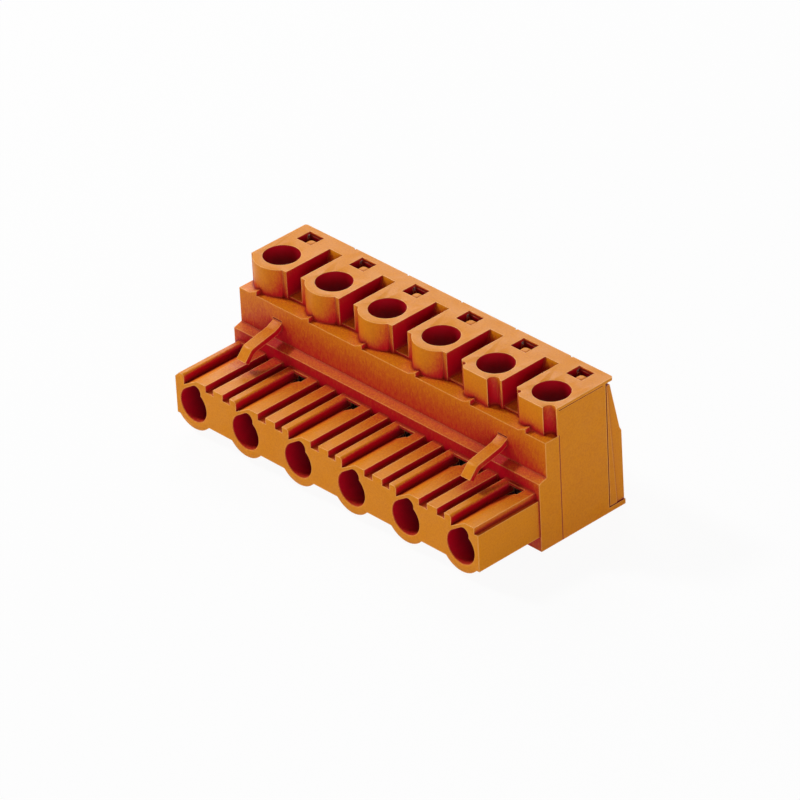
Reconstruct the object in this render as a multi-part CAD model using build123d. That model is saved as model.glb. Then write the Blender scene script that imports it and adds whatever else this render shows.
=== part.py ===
"""Pluggable terminal block with screw clamps, built from its mouldings and metal parts.

X runs along the row of poles, Y from the mating face to the wire entries, Z up from the foot.
The drawing below has its zero of Y on the mating face. Every piece is then moved back by half the
depth, so that the origin is the centre of the underside. All sizes are in millimetres.
"""
import os
from math import acos, atan2, cos, radians, sin, sqrt

from build123d import *

# Row of poles
pole_count = 6
pitch = 7.62
end_margin = 2.61

# Thread of the clamp screw, which decides the size of the yoke and of the chamber round it
thread_r = 1.25
running_clearance = 0.06
yoke_rim = 0.29
yoke_end_clearance = 0.13
yoke_l = 2 * (thread_r + running_clearance + yoke_rim)
chamber_l = yoke_l + 2 * yoke_end_clearance

# Planes across the block, from the mating face to the back
mating_l = 8.29
apron_l = 1.05
front_wall_t = 1.90
channel_l = 3.00
cover_t = 2.25
body_front_y = mating_l
upper_front_y = body_front_y + apron_l
seam_y = upper_front_y + front_wall_t
screw_y = seam_y + chamber_l / 2
chamber_rear_y = seam_y + chamber_l
cover_y = chamber_rear_y + channel_l
back_y = cover_y + cover_t

# Heights, from the tops of the ribs to the top of the bosses
rib_top_z = 6.57
apron_h = 1.19
front_wall_h = 4.24
boss_h = 3.19
step_z = rib_top_z + apron_h
ledge_z = step_z + front_wall_h
top_z = ledge_z + boss_h

# Mating block
block_inset = 0.12
web_bottom_z = 1.70
tube_axis_z = 3.50
tube_outer_r = 2.77
bore_r = 1.88
lobe_r = 0.68
lobe_offset_x = 0.46
lobe_offset_z = 1.74
mouth_chamfer = 0.06
key_groove_x = -1.21
key_floor_r = 2.31
key_floor_angle = 120.3
key_groove_round = 0.27
groove_depth = 0.71
wide_groove_x = 1.99
wide_groove_w = 1.15
narrow_groove_x = 4.49
narrow_groove_w = 1.04
side_chamfer = 0.60

# Openings in the roofs of the tubes, each with a bridge over its rear end
window_left = 0.95
window_right = 0.85
bridge_l = 0.29
bridge_t = 0.32
window_l = 1.10
window_rear_y = body_front_y - bridge_l
window_front_y = window_rear_y - window_l

# Step of the front wall between the mating block and the ledge
step_rise = 0.30

# Latching hooks on the front wall, each bent line measured from its root towards the tip
hook_w = 1.28
hook_t = 0.62
hook_root_drop = 2.13
hook_root_z = ledge_z - hook_root_drop
hook_line = ((-4.95, -2.13), (-3.98, -1.05), (-0.82, -0.41), (0, 0), (0.40, 0.25))
hook_bend_r = 0.80
hook_centres_x = (-16.20, 15.70)
hook_slot_rise = 0.47
hook_slot_h = 0.16
hook_slot_depth = 0.30

# Raised marks on the ledge
nub_w = 1.05
nub_h = 0.50
nub_ridge_x = -0.12

# Screw bosses
rounded_bosses = 4
boss_left = 3.00
boss_right = 2.74
boss_r = 2.95
tab_l = 0.25
tab_w = 0.55
flat_boss_l = 1.02
flat_boss_left = 1.72
notch_x = -2.38
notch_l = 0.45
notch_r = 0.30
flute_x = 2.00
flute_r = 0.62
slot_floor_h = 0.25
slot_rear_t = 0.70
slot_step_l = 0.85
slot_step_h = 1.70
slot_slope_l = 0.42
screw_hole_r = 1.95
slot_end_y = cover_y - slot_rear_t
slot_step_y = slot_end_y - slot_step_l
slot_floor_z = ledge_z + slot_floor_h
slot_step_z = ledge_z + slot_step_h

# Rear edge of the top and its snap windows
top_overhang = 1.10
top_plate_t = 0.34
snap_left = 1.25
snap_right = 0.83
snap_reach = 1.50
snap_overlap = 0.35
snap_floor_h = 1.00
top_rear_y = cover_y + top_overhang
snap_front_y = cover_y - snap_reach
snap_rear_y = cover_y + snap_overlap
snap_floor_z = ledge_z + snap_floor_h
rear_corner_r = 0.30
pitch_nick = 0.14
end_line_w = 0.08
end_line_depth = 0.06

# Foot under the wire entry cover
foot_t = 0.55

# Clamp chamber and wire channel
chamber_half_w = 2.00
chamber_floor_z = 1.30
shelf_drop = 0.60
shelf_t = 0.65
shelf_z = ledge_z - shelf_drop
chamber_top_z = shelf_z - shelf_t
channel_half_w = 2.10
channel_top_z = 5.55

# Wire entry cover
cover_inset = 0.05
cover_lip = 0.05
cover_top_t = 0.70
cover_top_drop = 0.75
cover_top_z = top_z - cover_top_drop
cover_knee_z = 8.55
cover_knee_h = 0.45
cover_knee_l = 0.24
cover_taper = 0.10
end_gap = 0.16
end_gap_depth = 0.80
crease_top_l = 0.24
crease_foot_l = 1.15
crease_depth = 0.08
mouth_half_w = 2.25
mouth_bottom_z = 0.95
mouth_top_z = 6.90

# Snap catches of the cover, which fill the right of the windows in the top
catch_left = 0.48
catch_l = 1.22
catch_drop = 0.20
catch_round = 0.55
catch_edge_r = 0.45
catch_stem_h = 0.45
catch_lip_gap = 0.06
snap_clearance = 0.08

# Current bar, socket and over-spring
bar_w = 2.50
bar_t = 0.80
bar_bottom_z = 5.60
bar_front_y = 8.75
bar_seat_depth = 0.60
bar_clearance = 0.06
contact_pocket_half_w = 1.75
contact_pocket_front_y = 8.45
socket_size = 2.00
socket_t = 0.40
socket_front_y = 3.60
socket_slit_w = 0.50
socket_slit_l = 2.60
spring_t = 0.22
spring_w = 1.70
spring_l = 3.40

# Clamp screw, which turns in place on a shelf of the housing
head_r = screw_hole_r - running_clearance
head_t = 1.25
head_bottom_z = shelf_z + running_clearance
driver_slot_w = 0.60
driver_slot_depth = 0.60
tip_clearance = 0.05

# Clamping yoke
yoke_side_clearance = 0.10
yoke_w = 2 * (chamber_half_w - yoke_side_clearance)
yoke_wall = 0.50
yoke_floor_t = 0.80
yoke_floor_z = 1.50
yoke_head_t = 1.50
yoke_clearance = 0.10
groove_count = 3
yoke_groove_w = 0.35
yoke_groove_depth = 0.18

half_length = (pole_count - 1) / 2 * pitch + end_margin
block_half = half_length - block_inset
pole_centres = [(k - (pole_count - 1) / 2) * pitch for k in range(pole_count)]


def block(x0, x1, y0, y1, z0, z1):
    """Box between two corners."""
    middle = Pos((x0 + x1) / 2, (y0 + y1) / 2, (z0 + z1) / 2)
    return middle * Box(x1 - x0, y1 - y0, z1 - z0)


def front_plane(y):
    """Plane across the block at one depth, with its second axis up."""
    return Plane(origin=(0, y, 0), x_dir=(1, 0, 0), z_dir=(0, -1, 0))


def side_plane(x):
    """Plane across the row at one place along it, with its first axis towards the back."""
    return Plane(origin=(x, 0, 0), x_dir=(0, 1, 0), z_dir=(1, 0, 0))


def along_y(outline, y0, y1):
    """Solid of an outline in X and Z between two depths."""
    return extrude(front_plane(y0) * outline, y1 - y0, dir=(0, 1, 0))


def along_x(points, x0, x1):
    """Solid of a closed outline in Y and Z between two places along the row."""
    outline = Polygon(*points, align=None)
    return extrude(side_plane(x0) * outline, x1 - x0, dir=(1, 0, 0))


def flat_rect(x0, x1, z0, z1):
    """Rectangle between two corners of a flat drawing."""
    return Pos((x0 + x1) / 2, (z0 + z1) / 2) * Rectangle(x1 - x0, z1 - z0)


def tangent_angle():
    """Direction square to the line that touches the bore and its upper lobe on the left."""
    apart = sqrt(lobe_offset_x**2 + lobe_offset_z**2)
    centre_line = atan2(lobe_offset_z, lobe_offset_x)
    return centre_line + acos((bore_r - lobe_r) / apart)


def bore_outline(grow):
    """Keyhole outline of a tube's opening: a round bore and a smaller lobe above it."""
    r1 = bore_r + grow
    r2 = lobe_r + grow
    angle = tangent_angle()
    low = Vector(r1 * cos(angle), r1 * sin(angle))
    high = Vector(lobe_offset_x + r2 * cos(angle), lobe_offset_z + r2 * sin(angle))
    apart = sqrt(lobe_offset_x**2 + lobe_offset_z**2)
    along = (r1**2 - r2**2 + apart**2) / (2 * apart)
    across = sqrt(r1**2 - along**2)
    ux, uz = lobe_offset_x / apart, lobe_offset_z / apart
    waist = Vector(along * ux + across * uz, along * uz - across * ux)
    lobe_top = Vector(lobe_offset_x + r2 * cos(radians(40)), lobe_offset_z + r2 * sin(radians(40)))
    bore_bottom = Vector(r1 * cos(radians(-100)), r1 * sin(radians(-100)))
    edges = [
        Line(low, high),
        ThreePointArc(high, lobe_top, waist),
        ThreePointArc(waist, bore_bottom, low),
    ]
    return Pos(0, tube_axis_z) * make_face(edges)


def key_groove():
    """Coding groove over a tube: an upright left wall and a floor that slopes with the bore."""
    angle = radians(key_floor_angle)
    above = rib_top_z + 1
    floor_z = tube_axis_z + (key_floor_r - cos(angle) * key_groove_x) / sin(angle)
    end_x = (key_floor_r - sin(angle) * (above - tube_axis_z)) / cos(angle)
    return Polygon((key_groove_x, above), (key_groove_x, floor_z), (end_x, above), align=None)


def mating_outline():
    """Front outline of the mating block: scalloped underside, flat webs and grooved top."""
    outline = flat_rect(-block_half, block_half, web_bottom_z, rib_top_z)
    tubes = Sketch() + [Pos(x, tube_axis_z) * Circle(tube_outer_r) for x in pole_centres]
    outline += tubes & flat_rect(-block_half, block_half, 0, tube_axis_z)
    floor_z = rib_top_z - groove_depth
    above = rib_top_z + 1
    for x in pole_centres:
        outline -= Pos(x, 0) * key_groove()
        wide = x + wide_groove_x
        outline -= flat_rect(wide, wide + wide_groove_w, floor_z, above)
        narrow = x + narrow_groove_x
        if narrow < block_half:
            outline -= flat_rect(narrow, narrow + narrow_groove_w, floor_z, above)
    key_corners = [
        v for v in outline.vertices()
        if abs(v.Y - rib_top_z) < 1e-4 and any(abs(v.X - x - key_groove_x) < 1e-4 for x in pole_centres)
    ]
    outline = fillet(key_corners, key_groove_round)
    corner = [v for v in outline.vertices() if abs(v.X + block_half) < 1e-4 and v.Y > tube_axis_z]
    return chamfer(corner, side_chamfer)


def tube_bore(x):
    """Keyhole bore of one tube with its chamfered mouth."""
    mouth = front_plane(0) * (Pos(x, 0) * bore_outline(mouth_chamfer))
    throat = front_plane(mouth_chamfer) * (Pos(x, 0) * bore_outline(0))
    bore = along_y(Pos(x, 0) * bore_outline(0), mouth_chamfer, contact_pocket_front_y)
    return [loft([mouth, throat], ruled=True), bore]


def bent_band(points, thickness):
    """Flat outline of a strip of even thickness along a bent line, with square ends."""
    line = [Vector(*point) for point in points]
    runs = [(b - a).normalized() for a, b in zip(line, line[1:])]
    sides = []
    for index, point in enumerate(line):
        before = runs[max(index - 1, 0)]
        after = runs[min(index, len(runs) - 1)]
        middle = (before + after).normalized()
        normal = Vector(-middle.Y, middle.X)
        sides.append((point, normal * (thickness / 2 / middle.dot(after))))
    upper = [point + out for point, out in sides]
    lower = [point - out for point, out in reversed(sides)]
    outline = Polygon(*[(p.X, p.Y) for p in upper + lower], align=None)
    inner = upper[1:-1] + lower[1:-1]
    bends = [v for v in outline.vertices() if min((Vector(v.X, v.Y) - p).length for p in inner) < 1e-4]
    return fillet(bends, hook_bend_r)


def latch_hook(x):
    """One curved latching hook, standing out from the front wall over the ribs."""
    band = bent_band([(upper_front_y + y, hook_root_z + z) for y, z in hook_line], hook_t)
    return extrude(side_plane(x - hook_w / 2) * band, hook_w, dir=(1, 0, 0))


def front_housing():
    """Front moulding: mating block, front wall, ledge and hooks."""
    shell = along_x(
        [
            (body_front_y, 0), (body_front_y, step_z), (upper_front_y, step_z + step_rise),
            (upper_front_y, ledge_z), (seam_y, ledge_z), (seam_y, 0),
        ],
        -half_length, half_length,
    )
    shell += along_y(mating_outline(), 0, body_front_y)
    for x in hook_centres_x:
        shell += latch_hook(x)
    for x in pole_centres:
        ridge = x + nub_ridge_x
        nub = Polygon((ridge - nub_w, ledge_z - 0.1), (ridge, ledge_z - 0.1), (ridge, ledge_z + nub_h),
                      (ridge - nub_w, ledge_z), align=None)
        shell += along_y(nub, upper_front_y, screw_y - boss_r - 0.02)
    for x in pole_centres:
        shell += block(x + key_groove_x - key_groove_round - 0.05, x + wide_groove_x - 0.05,
                       window_rear_y, body_front_y + 0.1, rib_top_z - bridge_t, rib_top_z)
    cuts = []
    for x in pole_centres:
        cuts += tube_bore(x)
        cuts.append(block(x - contact_pocket_half_w, x + contact_pocket_half_w,
                          contact_pocket_front_y, seam_y,
                          tube_axis_z - bore_r, bar_bottom_z + bar_t + bar_clearance))
        cuts.append(block(x - window_left, x + window_right, window_front_y, window_rear_y,
                          tube_axis_z, rib_top_z + 0.1))
        cuts.append(block(x - window_left, x + window_right, window_rear_y - 0.1,
                          contact_pocket_front_y + 0.1, tube_axis_z, rib_top_z - bridge_t))
        cuts.append(screw_hole(x))
    for x in hook_centres_x:
        slot_z = hook_root_z + hook_slot_rise
        cuts.append(block(x - hook_w / 2, x + hook_w / 2, upper_front_y - 0.1,
                          upper_front_y + hook_slot_depth, slot_z, slot_z + hook_slot_h))
    return shell - cuts


def screw_hole(x):
    """Round hole over one clamp screw, down to the shelf that carries its head."""
    return Pos(x, screw_y, (shelf_z + top_z + 1) / 2) * Cylinder(screw_hole_r, top_z + 1 - shelf_z)


def boss_outline(index):
    """Plan outline of one screw boss between the slots, seen from above."""
    x = pole_centres[index]
    left = x - boss_left if index else -half_length
    right = x + boss_right if index < pole_count - 1 else half_length
    outline = flat_rect(left, right, seam_y, slot_end_y)
    outline += flat_rect(right - tab_w, right, seam_y - tab_l, seam_y)
    if index < rounded_bosses:
        front = Pos(x, screw_y) * Circle(boss_r)
        return outline + (front & flat_rect(left, right, 0, screw_y))
    front_y = seam_y - flat_boss_l
    outline += Polygon((left, seam_y), (x - flat_boss_left, front_y), (x + flute_x, front_y),
                       (x + flute_x, seam_y), align=None)
    outline -= Pos(x + notch_x, seam_y - notch_l) * Circle(notch_r)
    return outline - Pos(x + flute_x, seam_y - flute_r) * Circle(flute_r)


def terminal_housing():
    """Rear moulding: clamp chambers, screw bosses, wire channels and foot."""
    core = block(-half_length, half_length, seam_y, cover_y, 0, slot_floor_z)
    core += block(-half_length, half_length, cover_y, back_y, 0, foot_t)
    core += along_x(
        [
            (slot_step_y, slot_floor_z), (slot_step_y, slot_step_z),
            (slot_end_y - slot_slope_l, slot_step_z), (slot_end_y, top_z),
            (cover_y, top_z), (cover_y, slot_floor_z),
        ],
        -half_length, half_length,
    )
    lid_outline = flat_rect(-half_length, half_length, slot_end_y, top_rear_y)
    lid = extrude(Pos(0, 0, top_z - top_plate_t) * lid_outline, top_plate_t)
    core += fillet(lid.edges().filter_by(Axis.Z).group_by(Axis.Y)[-1], rear_corner_r)
    for index in range(pole_count):
        core += extrude(Pos(0, 0, ledge_z) * boss_outline(index), top_z - ledge_z)
    cuts = []
    for index, x in enumerate(pole_centres):
        cuts.append(screw_hole(x))
        cuts.append(Pos(x, screw_y, shelf_z)
                    * Cylinder(thread_r + running_clearance, 2 * (shelf_z - chamber_top_z) + 0.2))
        cuts.append(block(x - chamber_half_w, x + chamber_half_w, seam_y - 0.1, chamber_rear_y,
                          chamber_floor_z, chamber_top_z))
        cuts.append(block(x - channel_half_w, x + channel_half_w, chamber_rear_y - 0.1, cover_y + 0.1,
                          chamber_floor_z, channel_top_z))
        cuts.append(block(x - bar_w / 2 - bar_clearance, x + bar_w / 2 + bar_clearance,
                          chamber_rear_y - 0.1, chamber_rear_y + bar_seat_depth + bar_clearance,
                          bar_bottom_z - bar_clearance, bar_bottom_z + bar_t + bar_clearance))
        cuts.append(block(x - snap_left, x + snap_right, snap_front_y, snap_rear_y,
                          snap_floor_z, top_z + 0.1))
        if index:
            nick_x = x - boss_left
            cuts.append(block(nick_x - pitch_nick, nick_x + pitch_nick, top_rear_y - pitch_nick,
                              top_rear_y + 0.1, top_z - top_plate_t - 0.1, top_z + 0.1))
    line_z = top_z - top_plate_t
    for end in (-half_length, half_length - end_line_depth):
        cuts.append(block(end, end + end_line_depth, seam_y + end_line_w, cover_y - 0.4,
                          line_z - end_line_w, line_z))
    return core - cuts


def snap_catch(x):
    """One catch of the cover, with its stem and the lip that closes the window behind it."""
    left = x - catch_left
    right = x + snap_right - snap_clearance
    front = snap_front_y + snap_clearance
    floor = snap_floor_z + snap_clearance
    plan = flat_rect(left, right, front, front + catch_l)
    corner = [v for v in plan.vertices() if v.X < x and v.Y > front + catch_l / 2]
    plan = fillet(corner, catch_round)
    catch = extrude(Pos(0, 0, floor) * plan, top_z - catch_drop - floor)
    catch = fillet(catch.edges().group_by(Axis.Z)[-1], catch_edge_r)
    catch += block(left, right, front + catch_l - 0.1, cover_y + 0.1, floor, floor + catch_stem_h)
    lip = block(x - snap_left - 0.1, x + snap_right + 0.1, snap_rear_y, cover_y + cover_top_t - 0.05,
                cover_top_z - 0.3, top_z - top_plate_t - catch_lip_gap)
    return catch + lip


def cover_ends():
    """Cuts at both ends of the cover: the gap along its edge and the face set back behind a crease."""
    half = half_length - cover_inset
    cuts = []
    for side in (-1, 1):
        outer = side * (half + 0.1)
        inner = side * (half - end_gap_depth)
        x0, x1 = min(outer, inner), max(outer, inner)
        cuts.append(block(x0, x1, cover_y - 0.1, cover_y + end_gap, 0, top_z))
        cuts.append(block(x0, x1, cover_y - 0.1, back_y, 0, foot_t + end_gap / 2))
        face = side * (half - crease_depth)
        cuts.append(along_x(
            [
                (cover_y + crease_top_l, cover_top_z + 0.1), (cover_y + crease_foot_l, foot_t - 0.1),
                (back_y + 0.1, foot_t - 0.1), (back_y + 0.1, cover_top_z + 0.1),
            ],
            min(face, outer), max(face, outer),
        ))
    return cuts


def wire_entry_cover():
    """Rear moulding that closes the back and carries the funnels of the wire entries."""
    half = half_length - cover_inset
    rear = back_y - cover_lip
    shell = along_x(
        [
            (cover_y, foot_t), (cover_y, cover_top_z), (cover_y + cover_top_t, cover_top_z),
            (rear - cover_taper - cover_knee_l, cover_knee_z + cover_knee_h),
            (rear - cover_taper, cover_knee_z), (rear, foot_t),
        ],
        -half, half,
    )
    for x in pole_centres:
        throat = flat_rect(x - channel_half_w, x + channel_half_w, chamber_floor_z, channel_top_z)
        mouth = flat_rect(x - mouth_half_w, x + mouth_half_w, mouth_bottom_z, mouth_top_z)
        shell -= loft([front_plane(cover_y) * throat, front_plane(rear) * mouth], ruled=True)
        shell -= block(x - snap_left, x + snap_right, cover_y - 0.1, snap_rear_y,
                       snap_floor_z + snap_clearance + catch_stem_h, cover_top_z + 0.1)
        shell += snap_catch(x)
    return shell - cover_ends()


def clamp_screw(x):
    """Slotted cheese-head clamp screw, threaded through the yoke, its tip over the current bar."""
    tip_z = bar_bottom_z + bar_t + tip_clearance
    shank = Pos(x, screw_y, (tip_z + head_bottom_z) / 2) * Cylinder(thread_r, head_bottom_z - tip_z)
    shank = chamfer(shank.edges().group_by(Axis.Z)[0], 0.30)
    head = Pos(x, screw_y, head_bottom_z + head_t / 2) * Cylinder(head_r, head_t)
    head = chamfer(head.edges().group_by(Axis.Z)[-1], 0.15)
    slot = block(x - driver_slot_w / 2, x + driver_slot_w / 2, screw_y - head_r - 0.1,
                 screw_y + head_r + 0.1, head_bottom_z + head_t - driver_slot_depth,
                 head_bottom_z + head_t + 0.1)
    return shank + head - slot


def clamping_yoke(x):
    """Box-shaped clamping yoke around the current bar, with its grooved floor and threaded head."""
    head_z = bar_bottom_z + bar_t + yoke_clearance
    top = head_z + yoke_head_t
    y0 = screw_y - yoke_l / 2
    y1 = screw_y + yoke_l / 2
    frame = block(x - yoke_w / 2, x + yoke_w / 2, y0, y1, yoke_floor_z, top)
    upright = frame.edges().filter_by(Axis.Y)
    frame = fillet(upright, 0.35)
    frame -= block(x - yoke_w / 2 + yoke_wall, x + yoke_w / 2 - yoke_wall, y0 - 0.1, y1 + 0.1,
                   yoke_floor_z + yoke_floor_t, head_z)
    frame -= Pos(x, screw_y, top) * Cylinder(thread_r + running_clearance, 2 * yoke_head_t + 0.5)
    step = yoke_l / (groove_count + 1)
    floor_top = yoke_floor_z + yoke_floor_t
    for row in range(groove_count):
        y = y0 + step * (row + 1)
        frame -= block(x - yoke_w / 2 + yoke_wall, x + yoke_w / 2 - yoke_wall,
                       y - yoke_groove_w / 2, y + yoke_groove_w / 2,
                       floor_top - yoke_groove_depth, floor_top + 0.1)
    return frame


def contact(x):
    """Current bar that steps down to the slit socket inside the tube."""
    bar_top = bar_bottom_z + bar_t
    bar = block(x - bar_w / 2, x + bar_w / 2, bar_front_y, chamber_rear_y + bar_seat_depth,
                bar_bottom_z, bar_top)
    web = block(x - bar_w / 2, x + bar_w / 2, bar_front_y, bar_front_y + bar_t,
                tube_axis_z - socket_size / 2, bar_top)
    half = socket_size / 2
    socket = block(x - half, x + half, socket_front_y, bar_front_y + 0.1,
                   tube_axis_z - half, tube_axis_z + half)
    hollow = half - socket_t
    socket -= block(x - hollow, x + hollow, socket_front_y - 0.1, bar_front_y - 0.6,
                    tube_axis_z - hollow, tube_axis_z + hollow)
    slit = block(x - socket_slit_w / 2, x + socket_slit_w / 2, socket_front_y - 0.1,
                 socket_front_y + socket_slit_l, tube_axis_z - half - 0.1, tube_axis_z + half + 0.1)
    return bar + web + (socket - slit)


def contact_spring(x):
    """Steel over-spring clipped round the socket, pressing its two leaves together."""
    half = socket_size / 2
    outer = half + spring_t
    y0 = socket_front_y + 0.3
    ring = block(x - outer, x + outer, y0, y0 + spring_l, tube_axis_z - outer, tube_axis_z + outer)
    ring = chamfer(ring.edges().filter_by(Axis.Y), 0.18)
    ring -= block(x - half, x + half, y0 - 0.1, y0 + spring_l + 0.1, tube_axis_z - half, tube_axis_z + half)
    relief = block(x - outer - 0.1, x + outer + 0.1, y0 + 0.6, y0 + spring_l - 0.6,
                   tube_axis_z - spring_w / 2, tube_axis_z + spring_w / 2)
    return ring - relief


def save(shape, name):
    """Write one piece, with the origin moved to the centre of the underside."""
    export_step(Pos(0, -back_y / 2, 0) * shape, f"parts/{name}.step")


os.makedirs("parts", exist_ok=True)
save(front_housing(), "front_housing")
save(terminal_housing(), "terminal_housing")
save(wire_entry_cover(), "wire_entry_cover")
for number, centre in enumerate(pole_centres, start=1):
    save(clamp_screw(centre), f"clamp_screw_{number}")
    save(clamping_yoke(centre), f"clamping_yoke_{number}")
    save(contact(centre), f"contact_{number}")
    save(contact_spring(centre), f"contact_spring_{number}")
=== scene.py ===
"""Looks of a pluggable terminal block: moulded housings, plated clamp parts, floor, lamps and camera.

Lengths are in metres. The front, with the tubes, looks to -Y, and the wires come in from +Y.
"""
from __future__ import annotations

import logging
import math
from dataclasses import dataclass
from enum import Enum

import bmesh
import bpy
from mathutils import Matrix, Vector


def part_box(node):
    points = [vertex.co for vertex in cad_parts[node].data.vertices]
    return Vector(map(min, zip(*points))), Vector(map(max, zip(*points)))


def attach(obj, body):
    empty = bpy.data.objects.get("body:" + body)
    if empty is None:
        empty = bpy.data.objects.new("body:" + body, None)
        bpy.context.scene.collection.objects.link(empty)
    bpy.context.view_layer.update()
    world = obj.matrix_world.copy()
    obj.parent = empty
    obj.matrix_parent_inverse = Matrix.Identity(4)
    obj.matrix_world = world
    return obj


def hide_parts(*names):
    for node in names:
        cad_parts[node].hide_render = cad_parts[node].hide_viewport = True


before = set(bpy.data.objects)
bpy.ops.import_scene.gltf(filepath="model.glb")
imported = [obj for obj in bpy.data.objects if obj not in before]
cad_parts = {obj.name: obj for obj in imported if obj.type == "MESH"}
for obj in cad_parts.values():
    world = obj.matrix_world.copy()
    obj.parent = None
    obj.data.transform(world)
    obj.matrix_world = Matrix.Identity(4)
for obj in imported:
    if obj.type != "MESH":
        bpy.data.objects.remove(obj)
log = logging.getLogger("terminal_block")

MM = 0.001
POLES = range(1, 7)
NOISE_MIDDLE = 0.5
NOISE_LOW = 0.3
NOISE_HIGH = 0.7
Colour = tuple[float, float, float]
Triple = tuple[float, float, float]
Feed = bpy.types.NodeSocket | float | tuple[float, ...]


class NodeSheet:
    """A node tree with short calls to place and join nodes."""

    # Places of a Mix node's sockets when it blends colours.
    mix_inputs: tuple[int, int, int] = (0, 6, 7)
    mix_result: int = 2

    def __init__(self, tree: bpy.types.NodeTree) -> None:
        """Keep the tree to work on.

        Args:
            tree: the node tree of a material, a world or a group.
        """
        self.tree = tree

    def add(self, kind: str, **values: object) -> bpy.types.Node:
        """Place a node.

        Args:
            kind: the node's type name without its ShaderNode prefix.
            values: settings of the node itself, by name.

        Returns:
            The new node.
        """
        node = self.tree.nodes.new("ShaderNode" + kind)
        for name, value in values.items():
            setattr(node, name, value)
        return node

    def feed(self, socket: bpy.types.NodeSocket, value: Feed) -> None:
        """Link an input to an output, or store a plain value in it.

        Args:
            socket: the input socket.
            value: the output socket to link, or the value to store.
        """
        if isinstance(value, bpy.types.NodeSocket):
            self.tree.links.new(value, socket)
        else:
            socket.default_value = value

    def set(self, node: bpy.types.Node, **values: Feed) -> bpy.types.Node:
        """Feed inputs of a node by name.

        Args:
            node: the node whose inputs are fed.
            values: sockets or plain values by input name, with underscores for spaces.

        Returns:
            The same node.
        """
        for name, value in values.items():
            self.feed(node.inputs[name.replace("_", " ")], value)
        return node

    def math(self, operation: str, *values: Feed, clamp: bool = False) -> bpy.types.NodeSocket:
        """Place a Math node.

        Args:
            operation: what the node works out.
            values: its inputs in order, as sockets or numbers.
            clamp: whether the result is held between 0 and 1.

        Returns:
            The node's result.
        """
        node = self.add("Math", operation=operation, use_clamp=clamp)
        for socket, value in zip(node.inputs, values):
            self.feed(socket, value)
        return node.outputs[0]

    def ramp(self, value: Feed, start: Feed, stop: Feed,
             low: Feed = 0.0, high: Feed = 1.0) -> bpy.types.NodeSocket:
        """Map one range of a value onto another and hold it at the ends.

        Args:
            value: the value to map.
            start: the value that gives low.
            stop: the value that gives high.
            low: the result at start and before it.
            high: the result at stop and past it.

        Returns:
            The mapped value.
        """
        node = self.add("MapRange")
        self.set(node, Value=value, From_Min=start, From_Max=stop, To_Min=low, To_Max=high)
        return node.outputs["Result"]

    def mix(self, factor: Feed, first: Feed, second: Feed) -> bpy.types.NodeSocket:
        """Blend two colours.

        Args:
            factor: the share of the second colour.
            first: the first colour, with its alpha.
            second: the second colour, with its alpha.

        Returns:
            The blended colour.
        """
        node = self.add("Mix", data_type="RGBA")
        for index, value in zip(self.mix_inputs, (factor, first, second)):
            self.feed(node.inputs[index], value)
        return node.outputs[self.mix_result]

    def here(self) -> bpy.types.NodeSocket:
        """Give the point being shaded, in the piece's own coordinates."""
        return self.add("TexCoord").outputs["Object"]

    def stretched(self, scale: Triple) -> bpy.types.NodeSocket:
        """Give the point being shaded, scaled along each axis."""
        return self.set(self.add("Mapping"), Vector=self.here(), Scale=scale).outputs["Vector"]

    def split(self, vector: bpy.types.NodeSocket) -> bpy.types.NodeOutputs:
        """Give the X, Y and Z of a vector."""
        return self.set(self.add("SeparateXYZ"), Vector=vector).outputs

    def noise(self, where: bpy.types.NodeSocket, **values: Feed) -> bpy.types.NodeSocket:
        """Give a noise at a point."""
        return self.set(self.add("TexNoise"), Vector=where, **values).outputs["Fac"]

    def effect(self, group: bpy.types.NodeTree, **values: Feed) -> bpy.types.NodeOutputs:
        """Place a shared effect with values of its own and give its outputs."""
        return self.set(self.add("Group", node_tree=group), **values).outputs

    def seen_directly(self) -> bpy.types.NodeSocket:
        """Tell what the camera sees, itself or mirrored or through glass, from what only lights a piece.

        Returns:
            1 for what is seen and 0 for the rest.
        """
        path = self.add("LightPath").outputs
        indirect = self.math("MAXIMUM", path["Is Glossy Ray"], path["Is Transmission Ray"])
        return self.math("MAXIMUM", path["Is Camera Ray"], indirect)


def opaque(colour: Colour) -> tuple[float, float, float, float]:
    """Give a colour a full alpha."""
    return (*colour, 1.0)


def new_group(
    name: str, inputs: dict[str, tuple[str, Feed]], outputs: dict[str, str],
) -> tuple[bpy.types.NodeTree, NodeSheet, bpy.types.Node, bpy.types.Node]:
    """Start a shader node group with named sockets.

    Args:
        name: the group's name.
        inputs: input names with their socket kind and default value.
        outputs: output names with their socket kind.

    Returns:
        The group, a sheet on it, its input node and its output node.
    """
    group = bpy.data.node_groups.new(name, "ShaderNodeTree")
    for label, (kind, default) in inputs.items():
        socket = group.interface.new_socket(name=label, in_out="INPUT", socket_type="NodeSocket" + kind)
        socket.default_value = default
    for label, kind in outputs.items():
        group.interface.new_socket(name=label, in_out="OUTPUT", socket_type="NodeSocket" + kind)
    sheet = NodeSheet(group)
    return group, sheet, group.nodes.new("NodeGroupInput"), group.nodes.new("NodeGroupOutput")


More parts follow.
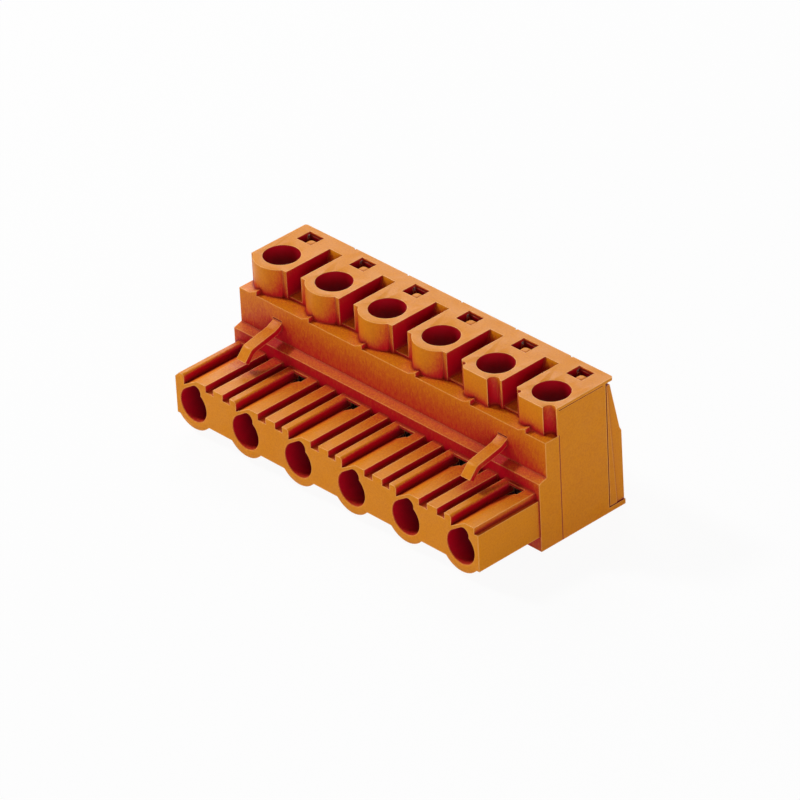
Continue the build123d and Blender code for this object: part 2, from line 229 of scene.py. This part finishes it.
class MouldedSkin:
    """Effect of a moulded surface: faint cloudy shade, fine spark-eroded texture and matt patches."""

    cloud_scale: float = 160.0
    cloud_tint: float = 0.55
    grain_tint: float = 2.4
    flow_scale: float = 420.0
    flow_bend: float = 1.6
    flow_height: float = 0.6

    def __init__(self) -> None:
        """Build the group once."""
        self.group, sheet, start, end = new_group(
            "moulded_skin",
            {
                "Colour": ("Color", (0.8, 0.3, 0.02, 1.0)),
                "Deep Colour": ("Color", (0.7, 0.2, 0.01, 1.0)),
                "Grain": ("Float", 5200.0),
                "Low Roughness": ("Float", 0.3),
                "High Roughness": ("Float", 0.5),
            },
            {"Colour": "Color", "Roughness": "Float", "Height": "Float"},
        )
        given = start.outputs
        where = sheet.here()
        cloud = sheet.noise(where, Scale=self.cloud_scale, Detail=3.0, Roughness=0.6)
        grain = sheet.noise(where, Scale=given["Grain"], Detail=2.0)
        flow = sheet.noise(where, Scale=self.flow_scale, Detail=4.0, Distortion=self.flow_bend)
        speck = sheet.math("SUBTRACT", grain, NOISE_MIDDLE)
        shade = sheet.ramp(cloud, 0.0, 1.0, 0.0, self.cloud_tint)
        tint = sheet.math("MULTIPLY_ADD", speck, self.grain_tint, shade)
        rough = sheet.ramp(flow, NOISE_LOW, NOISE_HIGH, given["Low Roughness"], given["High Roughness"])
        height = sheet.math("ADD", grain, sheet.math("MULTIPLY", flow, self.flow_height))
        colour = sheet.mix(tint, given["Colour"], given["Deep Colour"])
        sheet.set(end, Colour=colour, Roughness=rough, Height=height)


class EdgeHighlight:
    """Painted highlight on edges: a mask that is high where two faces meet, for a pale colour laid along
    them.
    """

    samples: int = 6

    def __init__(self) -> None:
        """Build the group once."""
        self.group, sheet, start, end = new_group(
            "painted_edge_highlight",
            {"Radius": ("Float", 0.2 * MM), "Sharpness": ("Float", 5.0)},
            {"Mask": "Float"},
        )
        rounded = sheet.set(sheet.add("Bevel", samples=self.samples), Radius=start.outputs["Radius"])
        dot = sheet.add("VectorMath", operation="DOT_PRODUCT")
        sheet.feed(dot.inputs[0], rounded.outputs["Normal"])
        sheet.feed(dot.inputs[1], sheet.add("NewGeometry").outputs["Normal"])
        bent = sheet.math("SUBTRACT", 1.0, dot.outputs["Value"])
        sheet.set(end, Mask=sheet.math("MULTIPLY", bent, start.outputs["Sharpness"], clamp=True))


class Crevices:
    """Effect of hollows: masks for painted shade, red in a hollow and near black in its depth, and for dark
    seams, with painted shade in creases.

    How open a point is comes from the light that reaches it from all round. Where some of it is kept
    off, faces that look to the right or to the front count as less open, and faces that look up as
    more open, the more so high on the block: painted shade that stands for a key light from the left
    and above. Steep faces that look to the front and a little up count as more open everywhere, a
    painted light on them. Specks break up the rim of the painted shade.
    """

    shade_samples: int = 8
    seam_samples: int = 6
    turn_share: float = 0.32
    low_height: float = 8.0 * MM
    high_height: float = 11.0 * MM
    low_relief: float = -0.5
    high_relief: float = -1.9
    slope_up: tuple[float, float] = (0.15, 0.25)
    slope_front: tuple[float, float] = (-0.94, -0.90)
    slope_lift: float = 0.45
    speck_scale: float = 5600.0
    speck_stretch: Triple = (1.0, 1.0, 0.4)
    mask_curve: float = 2.2
    depth_range: tuple[float, float] = (0.05, 0.30)
    seam_range: tuple[float, float] = (0.62, 0.97)

    def __init__(self) -> None:
        """Build the group once."""
        self.group, sheet, start, end = new_group(
            "crevices",
            {
                "Reach": ("Float", 8.0 * MM),
                "Open": ("Float", 0.95),
                "Closed": ("Float", 0.32),
                "Seam Reach": ("Float", 0.4 * MM),
                "Speckle": ("Float", 2.8),
            },
            {"Mask": "Float", "Depth": "Float", "Seam": "Float"},
        )
        given = start.outputs
        shade = self.openness(sheet, given["Reach"], self.shade_samples)
        lack = sheet.math("SUBTRACT", 1.0, shade)
        facing = sheet.split(sheet.add("NewGeometry").outputs["Normal"])
        away = sheet.math("MULTIPLY", lack, -self.turn_share)
        seen = sheet.math("MULTIPLY_ADD", away, self.turned(sheet, facing), shade)
        upward = sheet.ramp(facing["Z"], *self.slope_up, 0.0, self.slope_lift)
        forward = sheet.ramp(facing["Y"], *self.slope_front, 1.0, 0.0)
        seen = sheet.math("MULTIPLY_ADD", upward, forward, seen)
        specks = sheet.noise(sheet.stretched(self.speck_stretch), Scale=self.speck_scale, Detail=2.0,
                             Roughness=0.7)
        half_shaded = sheet.math("MULTIPLY", lack, shade)
        centred = sheet.math("MULTIPLY", sheet.math("SUBTRACT", specks, NOISE_MIDDLE), half_shaded)
        seen = sheet.math("MULTIPLY_ADD", centred, given["Speckle"], seen)
        light = sheet.math("POWER", sheet.ramp(seen, given["Closed"], given["Open"]), self.mask_curve)
        narrow = self.openness(sheet, given["Seam Reach"], self.seam_samples)
        # Mask: where the red painted shade of hollows is laid.
        sheet.set(end, Mask=sheet.math("SUBTRACT", 1.0, light),
                  # Depth: where near-black painted shade is laid deep in holes.
                  Depth=sheet.ramp(shade, *self.depth_range, 1.0, 0.0),
                  # Seam: where dark joint lines are laid, and painted shade in creases and inner corners.
                  Seam=sheet.ramp(narrow, *self.seam_range, 1.0, 0.0))

    def openness(self, sheet: NodeSheet, reach: bpy.types.NodeSocket, samples: int) -> bpy.types.NodeSocket:
        """Give how open a point is to its surroundings.

        Args:
            sheet: the sheet to place the node on.
            reach: how far the surroundings count.
            samples: the number of rays.

        Returns:
            The share of open surroundings.
        """
        node = sheet.set(sheet.add("AmbientOcclusion", samples=samples), Distance=reach)
        return node.outputs["AO"]

    def turned(self, sheet: NodeSheet, facing: bpy.types.NodeOutputs) -> bpy.types.NodeSocket:
        """Give how far a face is turned to the right or the front, less how far it looks up, which darkens
        the painted shade.

        Args:
            sheet: the sheet to place the nodes on.
            facing: the X, Y and Z of the face's direction.

        Returns:
            The turn, below zero for a face that looks up.
        """
        height = sheet.split(sheet.here())["Z"]
        relief = sheet.ramp(height, self.low_height, self.high_height, self.low_relief, self.high_relief)
        sideways = sheet.math("SUBTRACT", facing["X"], facing["Y"])
        return sheet.math("MULTIPLY_ADD", facing["Z"], relief, sideways)


class JointLine:
    """Effect of the joint between two mouldings: a mask along the plane where they meet."""

    def __init__(self) -> None:
        """Build the group once."""
        self.group, sheet, start, end = new_group(
            "joint_line",
            {"Place": ("Float", 0.0), "Top": ("Float", 12.0 * MM), "Half Width": ("Float", 0.06 * MM)},
            {"Mask": "Float"},
        )
        given = start.outputs
        where = sheet.split(sheet.here())
        apart = sheet.math("ABSOLUTE", sheet.math("SUBTRACT", where["Y"], given["Place"]))
        near = sheet.math("LESS_THAN", apart, given["Half Width"])
        below = sheet.math("LESS_THAN", where["Z"], given["Top"])
        sheet.set(end, Mask=sheet.math("MULTIPLY", near, below))


class PlatedSkin:
    """Effect of plated metal: uneven crystals, drawing lines and dull patches."""

    drawn_scale: float = 9000.0
    drawn_stretch: Triple = (1.0, 0.15, 1.0)
    patch_scale: float = 700.0
    crystal_height: float = 0.5

    def __init__(self) -> None:
        """Build the group once."""
        self.group, sheet, start, end = new_group(
            "plated_skin",
            {
                "Bright": ("Color", (0.8, 0.8, 0.78, 1.0)),
                "Dull": ("Color", (0.6, 0.6, 0.56, 1.0)),
                "Crystals": ("Float", 2600.0),
                "Low Roughness": ("Float", 0.2),
                "High Roughness": ("Float", 0.45),
            },
            {"Colour": "Color", "Roughness": "Float", "Height": "Float"},
        )
        given = start.outputs
        where = sheet.here()
        drawn = sheet.noise(sheet.stretched(self.drawn_stretch), Scale=self.drawn_scale, Detail=2.0)
        crystals = sheet.set(sheet.add("TexVoronoi"), Vector=where, Scale=given["Crystals"])
        patch = sheet.noise(where, Scale=self.patch_scale, Detail=4.0, Roughness=0.7)
        rough = sheet.ramp(patch, NOISE_LOW, NOISE_HIGH, given["Low Roughness"], given["High Roughness"])
        raised = sheet.math("MULTIPLY", crystals.outputs["Distance"], self.crystal_height)
        sheet.set(end, Colour=sheet.mix(patch, given["Bright"], given["Dull"]), Roughness=rough,
                  Height=sheet.math("ADD", drawn, raised))


@dataclass(frozen=True)
class PlasticFinish:
    """Orange moulded plastic with a satin surface."""

    colour: Colour = (0.84, 0.29, 0.005)
    deep: Colour = (0.75, 0.22, 0.004)
    # Pale colour of the painted highlight along edges.
    edge_highlight: Colour = (1.0, 0.50, 0.14)
    # Red colour of the painted shade in hollows.
    glow: Colour = (0.53, 0.002, 0.016)
    # Near-black colour of the painted shade deep in holes.
    depth: Colour = (0.045, 0.002, 0.006)
    # Dark colour of the joint lines between mouldings, and of the painted shade in narrow creases and inner
    # corners.
    joint_line_and_crease_shade: Colour = (0.36, 0.018, 0.010)
    low_roughness: float = 0.36
    high_roughness: float = 0.52
    grain: float = 5200.0
    bump: float = 0.35
    bump_height: float = 0.02 * MM
    edge_radius: float = 0.20 * MM
    edge_fade: float = 0.5
    hollow_reach: float = 8.0 * MM
    seam_reach: float = 0.35 * MM
    joint_width: float = 0.12 * MM
    joint_drop: float = 0.45 * MM
    ior: float = 1.5
    gloss: float = 0.14

    def material(self, name: str, skin: MouldedSkin, edges: EdgeHighlight,
                 hollows: Crevices, joint: JointLine) -> bpy.types.Material:
        """Make the plastic.

        Args:
            name: the material's name.
            skin: the effect of moulded surfaces.
            edges: the painted highlight on edges.
            hollows: the painted shade of hollows, their depths and creases.
            joint: the effect of the joint between the mouldings.

        Returns:
            The new material.
        """
        material, sheet, shader = principled(name)
        base = sheet.effect(skin.group, Colour=opaque(self.colour), Deep_Colour=opaque(self.deep),
                            Grain=self.grain, Low_Roughness=self.low_roughness,
                            High_Roughness=self.high_roughness)
        rim = sheet.effect(edges.group, Radius=self.edge_radius)
        hollow = sheet.effect(hollows.group, Reach=self.hollow_reach, Seam_Reach=self.seam_reach)
        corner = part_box("front_housing")[1]
        parting = sheet.effect(joint.group, Place=corner.y, Top=corner.z - self.joint_drop,
                               Half_Width=self.joint_width / 2)
        # The painted edge highlight fades where the painted shade of hollows lies.
        open_edge = sheet.math("MULTIPLY_ADD", hollow["Mask"], -self.edge_fade, 1.0)
        highlight_share = sheet.math("MULTIPLY", rim["Mask"], open_edge)
        joint_and_crease_share = sheet.math("MAXIMUM", hollow["Seam"], parting["Mask"])
        # Laid over the moulded colour in turn: red painted shade of hollows, near-black painted shade in
        # their depths, painted highlight on open edges, and dark joint lines with painted shade in creases.
        colour = base["Colour"]
        for share, laid_over in ((hollow["Mask"], self.glow), (hollow["Depth"], self.depth),
                                 (highlight_share, self.edge_highlight), (joint_and_crease_share, self.joint_line_and_crease_shade)):
            colour = sheet.mix(share, colour, opaque(laid_over))
        bump = sheet.set(sheet.add("Bump"), Height=base["Height"], Strength=self.bump,
                         Distance=self.bump_height)
        sheet.set(shader, Base_Color=colour, Roughness=base["Roughness"], Normal=bump.outputs["Normal"],
                  IOR=self.ior, Specular_IOR_Level=self.gloss)
        return material


@dataclass(frozen=True)
class PlatedFinish:
    """Plated or bright metal."""

    name: str
    bright: Colour
    dull: Colour
    low_roughness: float
    high_roughness: float
    bump: float = 0.25
    bump_height: float = 0.02 * MM

    def material(self, skin: PlatedSkin) -> bpy.types.Material:
        """Make the metal.

        Args:
            skin: the effect of plated metal.

        Returns:
            The new material.
        """
        material, sheet, shader = principled(self.name)
        base = sheet.effect(skin.group, Bright=opaque(self.bright), Dull=opaque(self.dull),
                            Low_Roughness=self.low_roughness, High_Roughness=self.high_roughness)
        bump = sheet.set(sheet.add("Bump"), Height=base["Height"], Strength=self.bump,
                         Distance=self.bump_height)
        sheet.set(shader, Base_Color=base["Colour"], Roughness=base["Roughness"],
                  Normal=bump.outputs["Normal"], Metallic=1.0)
        return material


class Slot(Enum):
    """Material slots of the record that the clamps' metals belong to."""

    ZINC = "zinc_steel"
    TIN = "tinned_copper"
    SPRING = "spring_steel"


PLATINGS: dict[Slot, PlatedFinish] = {
    Slot.ZINC: PlatedFinish("zinc_plating", (0.74, 0.74, 0.72), (0.52, 0.52, 0.50), 0.26, 0.48),
    Slot.TIN: PlatedFinish("tin_plating", (0.82, 0.80, 0.76), (0.66, 0.64, 0.60), 0.22, 0.40),
    Slot.SPRING: PlatedFinish("spring_steel", (0.62, 0.62, 0.64), (0.48, 0.48, 0.50), 0.18, 0.34),
}


def principled(name: str) -> tuple[bpy.types.Material, NodeSheet, bpy.types.Node]:
    """Start a material with a Principled shader.

    Args:
        name: the material's name.

    Returns:
        The material, a sheet on its nodes and the shader node.
    """
    material = bpy.data.materials.new(name)
    material.use_nodes = True
    return material, NodeSheet(material.node_tree), material.node_tree.nodes["Principled BSDF"]


def dress(piece: bpy.types.Object, material: bpy.types.Material) -> None:
    """Put one material on the whole of a piece."""
    piece.data.materials.clear()
    piece.data.materials.append(material)


@dataclass(frozen=True)
class Softening:
    """How edges are rounded a little, as moulding or tumbling leaves them."""

    width: float
    segments: int = 2
    least_bend: float = math.radians(35.0)
    weld: float = 0.001 * MM
    normal_weight: int = 100

    def apply(self, piece: bpy.types.Object) -> None:
        """Give a piece its rounded edges and even shading.

        Args:
            piece: the piece to soften.
        """
        weld = piece.modifiers.new("weld", "WELD")
        weld.merge_threshold = self.weld
        bevel = piece.modifiers.new("rounding", "BEVEL")
        bevel.width = self.width
        bevel.segments = self.segments
        bevel.limit_method = "ANGLE"
        bevel.angle_limit = self.least_bend
        bevel.harden_normals = False
        for polygon in piece.data.polygons:
            polygon.use_smooth = True
        even = piece.modifiers.new("even_normals", "WEIGHTED_NORMAL")
        even.mode = "FACE_AREA"
        even.weight = self.normal_weight


@dataclass
class Housings:
    """The three mouldings of the plug."""

    rounding: float = 0.07 * MM
    names: tuple[str, ...] = ("front_housing", "terminal_housing", "wire_entry_cover")

    def dress(self, plastic: bpy.types.Material) -> None:
        """Dress the mouldings and round their edges.

        Args:
            plastic: the material of all three.
        """
        for name in self.names:
            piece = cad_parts[name]
            dress(piece, plastic)
            Softening(self.rounding).apply(piece)
            log.info("%s dressed in moulded plastic", name)


@dataclass
class ClampScrews:
    """The slotted clamp screws, with their threads cut."""

    shank: float = 1.25 * MM
    pitch: float = 0.45 * MM
    thread_depth: float = 0.22 * MM
    flank_rise: float = 1.25
    run_out_turns: float = 1.5
    point_share: float = 0.80
    point_turns: float = 0.8
    head_height: float = 1.25 * MM
    slot_width: float = 0.60 * MM
    slot_depth: float = 0.60 * MM
    cutter_reach: float = 2.2
    rim: float = 0.12 * MM
    rim_steps: int = 4
    around: int = 32
    rows_per_turn: int = 8

    def build(self, zinc: bpy.types.Material) -> None:
        """Build every screw on its body.

        Args:
            zinc: the material of the screws.
        """
        for pole in POLES:
            node = f"clamp_screw_{pole}"
            low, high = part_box(node)
            screw = self.screw(f"threaded_screw_{pole}", low, high)
            dress(screw, zinc)
            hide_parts(node)
            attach(screw, f"screw_{pole}")
            log.info("%s built with %d faces", screw.name, len(screw.data.polygons))

    def thread_radius(self, height: float, angle: float, length: float) -> float:
        """Give the shank's radius at a height and an angle.

        The thread has flat crests and runs out below the head, and the tip is drawn in.

        Args:
            height: height over the tip.
            angle: angle round the axis, in radians.
            length: length of the shank.

        Returns:
            The radius there, in metres.
        """
        phase = (height / self.pitch - angle / math.tau) % 1.0
        flank = min(1.0, self.flank_rise * (1.0 - abs(2.0 * phase - 1.0)))
        run_out = (length - height) / (self.run_out_turns * self.pitch)
        depth = self.thread_depth * min(1.0, max(0.0, run_out))
        rise = (1.0 - self.point_share) * height / (self.point_turns * self.pitch)
        return (self.shank - depth * (1.0 - flank)) * min(1.0, self.point_share + rise)

    def head_profile(self, head: float) -> list[tuple[float, float]]:
        """Give the radius and height of each ring of the head.

        Args:
            head: radius of the head.

        Returns:
            Pairs of radius and height over the underside, from the underside to the top.
        """
        profile = [(head, 0.0)]
        for step in range(self.rim_steps + 1):
            turn = math.pi / 2 * step / self.rim_steps
            inward = self.rim * (1.0 - math.cos(turn))
            below = self.rim * (1.0 - math.sin(turn))
            profile.append((head - inward, self.head_height - below))
        return profile

    def angles(self) -> list[float]:
        """Give the angles of the points round a ring, in radians."""
        return [math.tau * index / self.around for index in range(self.around)]

    def ring(self, mesh: bmesh.types.BMesh, centre: Vector, height: float,
             radii: list[float]) -> list[bmesh.types.BMVert]:
        """Place one ring of points round the screw's axis.

        Args:
            mesh: the mesh under construction.
            centre: centre of the screw.
            height: height of the ring.
            radii: the radius at each angle.

        Returns:
            The points in order.
        """
        return [
            mesh.verts.new((centre.x + radius * math.cos(angle), centre.y + radius * math.sin(angle), height))
            for angle, radius in zip(self.angles(), radii)
        ]

    def screw(self, name: str, low: Vector, high: Vector) -> bpy.types.Object:
        """Build one screw from its box.

        Args:
            name: the piece's name.
            low: lowest corner of the solid that it stands for.
            high: highest corner of that solid.

        Returns:
            The new piece.
        """
        centre = (low + high) / 2
        head = (high.x - low.x) / 2
        under_head = high.z - self.head_height
        length = under_head - low.z
        rows = int(length / self.pitch * self.rows_per_turn)
        mesh = bmesh.new()
        rings = []
        for row in range(rows + 1):
            height = length * row / rows
            radii = [self.thread_radius(height, angle, length) for angle in self.angles()]
            rings.append(self.ring(mesh, centre, low.z + height, radii))
        for radius, up in self.head_profile(head):
            rings.append(self.ring(mesh, centre, under_head + up, [radius] * self.around))
        for lower, upper in zip(rings, rings[1:]):
            for index in range(self.around):
                after = (index + 1) % self.around
                mesh.faces.new((lower[index], lower[after], upper[after], upper[index]))
        mesh.faces.new(list(reversed(rings[0])))
        mesh.faces.new(rings[-1])
        screw = new_piece(name, mesh)
        self.cut_slot(screw, centre, head, high.z)
        return screw

    def cut_slot(self, screw: bpy.types.Object, centre: Vector, head: float, top: float) -> None:
        """Cut the driver slot into the head.

        Args:
            screw: the piece to cut.
            centre: centre of the screw.
            head: radius of the head.
            top: height of the head's top.
        """
        mesh = bmesh.new()
        size = Matrix.Diagonal((self.slot_width, self.cutter_reach * head, 2 * self.slot_depth, 1.0))
        place = Matrix.Translation((centre.x, centre.y, top))
        bmesh.ops.create_cube(mesh, size=1.0, matrix=place @ size)
        cutter = new_piece("slot_cutter", mesh)
        cut = screw.modifiers.new("slot", "BOOLEAN")
        cut.operation = "DIFFERENCE"
        cut.solver = "EXACT"
        cut.object = cutter
        bake(screw)
        bpy.data.objects.remove(cutter)


def new_piece(name: str, mesh: bmesh.types.BMesh) -> bpy.types.Object:
    """Turn a mesh under construction into a piece of the scene.

    Args:
        name: the piece's name.
        mesh: the finished mesh, freed here.

    Returns:
        The new piece.
    """
    bmesh.ops.recalc_face_normals(mesh, faces=mesh.faces)
    data = bpy.data.meshes.new(name)
    mesh.to_mesh(data)
    mesh.free()
    piece = bpy.data.objects.new(name, data)
    bpy.context.scene.collection.objects.link(piece)
    return piece


def bake(piece: bpy.types.Object) -> None:
    """Apply all modifiers of a new piece to its mesh.

    Args:
        piece: the piece, which keeps its name and loses its modifiers.
    """
    bpy.context.view_layer.update()
    shape = piece.evaluated_get(bpy.context.evaluated_depsgraph_get())
    data = bpy.data.meshes.new_from_object(shape)
    piece.modifiers.clear()
    piece.data = data


@dataclass
class ClampMetal:
    """Yokes, current bars and over-springs, which keep their solids."""

    yoke_rounding: float = 0.05 * MM
    sheet_rounding: float = 0.03 * MM

    def dress(self, metals: dict[Slot, bpy.types.Material]) -> None:
        """Dress the metal of every pole.

        Args:
            metals: the material for each slot.
        """
        kinds = (
            ("clamping_yoke", Slot.ZINC, self.yoke_rounding),
            ("contact", Slot.TIN, self.sheet_rounding),
            ("contact_spring", Slot.SPRING, self.sheet_rounding),
        )
        for pole in POLES:
            for kind, slot, width in kinds:
                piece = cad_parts[f"{kind}_{pole}"]
                dress(piece, metals[slot])
                Softening(width).apply(piece)
                log.info("%s_%d dressed in %s", kind, pole, slot.value)


@dataclass(frozen=True)
class Lamp:
    """One square soft lamp that faces the object: its place, the side of its square and its watts."""

    name: str
    place: Triple
    size: float
    power: float

    def hang(self, target: Vector) -> None:
        """Hang the lamp in the scene.

        Args:
            target: the point that it faces.
        """
        data = bpy.data.lights.new(self.name, "AREA")
        data.size = self.size
        data.energy = self.power
        lamp = bpy.data.objects.new(self.name, data)
        lamp.location = self.place
        lamp.rotation_mode = "QUATERNION"
        lamp.rotation_quaternion = (target - Vector(self.place)).to_track_quat("-Z", "Y")
        bpy.context.scene.collection.objects.link(lamp)


@dataclass
class Studio:
    """Camera, floor, lamps and world of the photograph."""

    lens: float = 292.74
    place: Triple = (0.400679, -0.365674, 0.349960)
    forward: Triple = (-0.62413, 0.57048, -0.53387)
    right: Triple = (0.69443, 0.71818, -0.04442)
    nearest: float = 0.01
    farthest: float = 20.0
    floor_size: float = 3.0
    floor_colour: Colour = (0.9, 0.9, 0.9)
    floor_white: float = 0.94
    white: Colour = (1.0, 1.0, 1.0)
    sky: float = 0.12
    target: Triple = (0.0, 0.0, 0.008)
    lamps: tuple[Lamp, ...] = (
        Lamp("key", (-0.55, -0.16, 0.54), 0.12, 3.5),
        Lamp("fill", (0.72, -0.10, 0.20), 0.40, 0.6),
        Lamp("front", (0.50, -0.56, 0.16), 0.30, 1.6),
        Lamp("back", (-0.50, 0.46, 0.45), 0.40, 2.6),
    )

    def build(self) -> None:
        """Set up everything round the object."""
        self.camera()
        self.floor()
        self.world()
        for lamp in self.lamps:
            lamp.hang(Vector(self.target))
        bpy.context.scene.view_settings.view_transform = "Standard"

    def camera(self) -> None:
        """Place the camera where the photograph was taken from."""
        ahead = Vector(self.forward).normalized()
        side = Vector(self.right).normalized()
        up = side.cross(ahead).normalized()
        side = ahead.cross(up).normalized()
        turn = Matrix((side, up, -ahead)).transposed().to_4x4()
        data = bpy.data.cameras.new("camera")
        data.lens = self.lens
        data.clip_start = self.nearest
        data.clip_end = self.farthest
        camera = bpy.data.objects.new("camera", data)
        camera.matrix_world = Matrix.Translation(self.place) @ turn
        bpy.context.scene.collection.objects.link(camera)
        bpy.context.scene.camera = camera
        log.info("camera placed")

    def floor(self) -> None:
        """Lay the floor, which shows as white, keeps the object's shadow and throws none itself."""
        mesh = bmesh.new()
        bmesh.ops.create_grid(mesh, x_segments=1, y_segments=1, size=self.floor_size / 2)
        floor = new_piece("floor", mesh)
        material = bpy.data.materials.new("white_floor")
        material.use_nodes = True
        sheet = NodeSheet(material.node_tree)
        sheet.tree.nodes.clear()
        diffuse = sheet.set(sheet.add("BsdfDiffuse"), Color=opaque(self.floor_colour))
        glow = sheet.set(sheet.add("Emission"), Color=opaque(self.white), Strength=1.0)
        blend = sheet.add("MixShader")
        share = sheet.math("MULTIPLY", sheet.seen_directly(), self.floor_white)
        for socket, value in zip(blend.inputs, (share, diffuse.outputs[0], glow.outputs[0])):
            sheet.feed(socket, value)
        sheet.feed(sheet.add("OutputMaterial").inputs[0], blend.outputs[0])
        dress(floor, material)
        floor.visible_shadow = False
        log.info("floor laid")

    def world(self) -> None:
        """Give the plain white surroundings."""
        world = bpy.data.worlds.new("white_room")
        world.use_nodes = True
        sheet = NodeSheet(world.node_tree)
        strength = sheet.ramp(sheet.seen_directly(), 0.0, 1.0, self.sky, 1.0)
        sheet.set(world.node_tree.nodes["Background"], Color=opaque(self.white), Strength=strength)
        bpy.context.scene.world = world


def main() -> None:
    """Build and dress every piece, then the studio."""
    logging.basicConfig(level=logging.INFO, format="%(name)s: %(message)s")
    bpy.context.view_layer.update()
    skin, edges, hollows, plated = MouldedSkin(), EdgeHighlight(), Crevices(), PlatedSkin()
    plastic = PlasticFinish().material("orange_plastic", skin, edges, hollows, JointLine())
    metals = {slot: finish.material(plated) for slot, finish in PLATINGS.items()}
    Housings().dress(plastic)
    ClampScrews().build(metals[Slot.ZINC])
    ClampMetal().dress(metals)
    Studio().build()


if __name__ == "__main__":
    main()
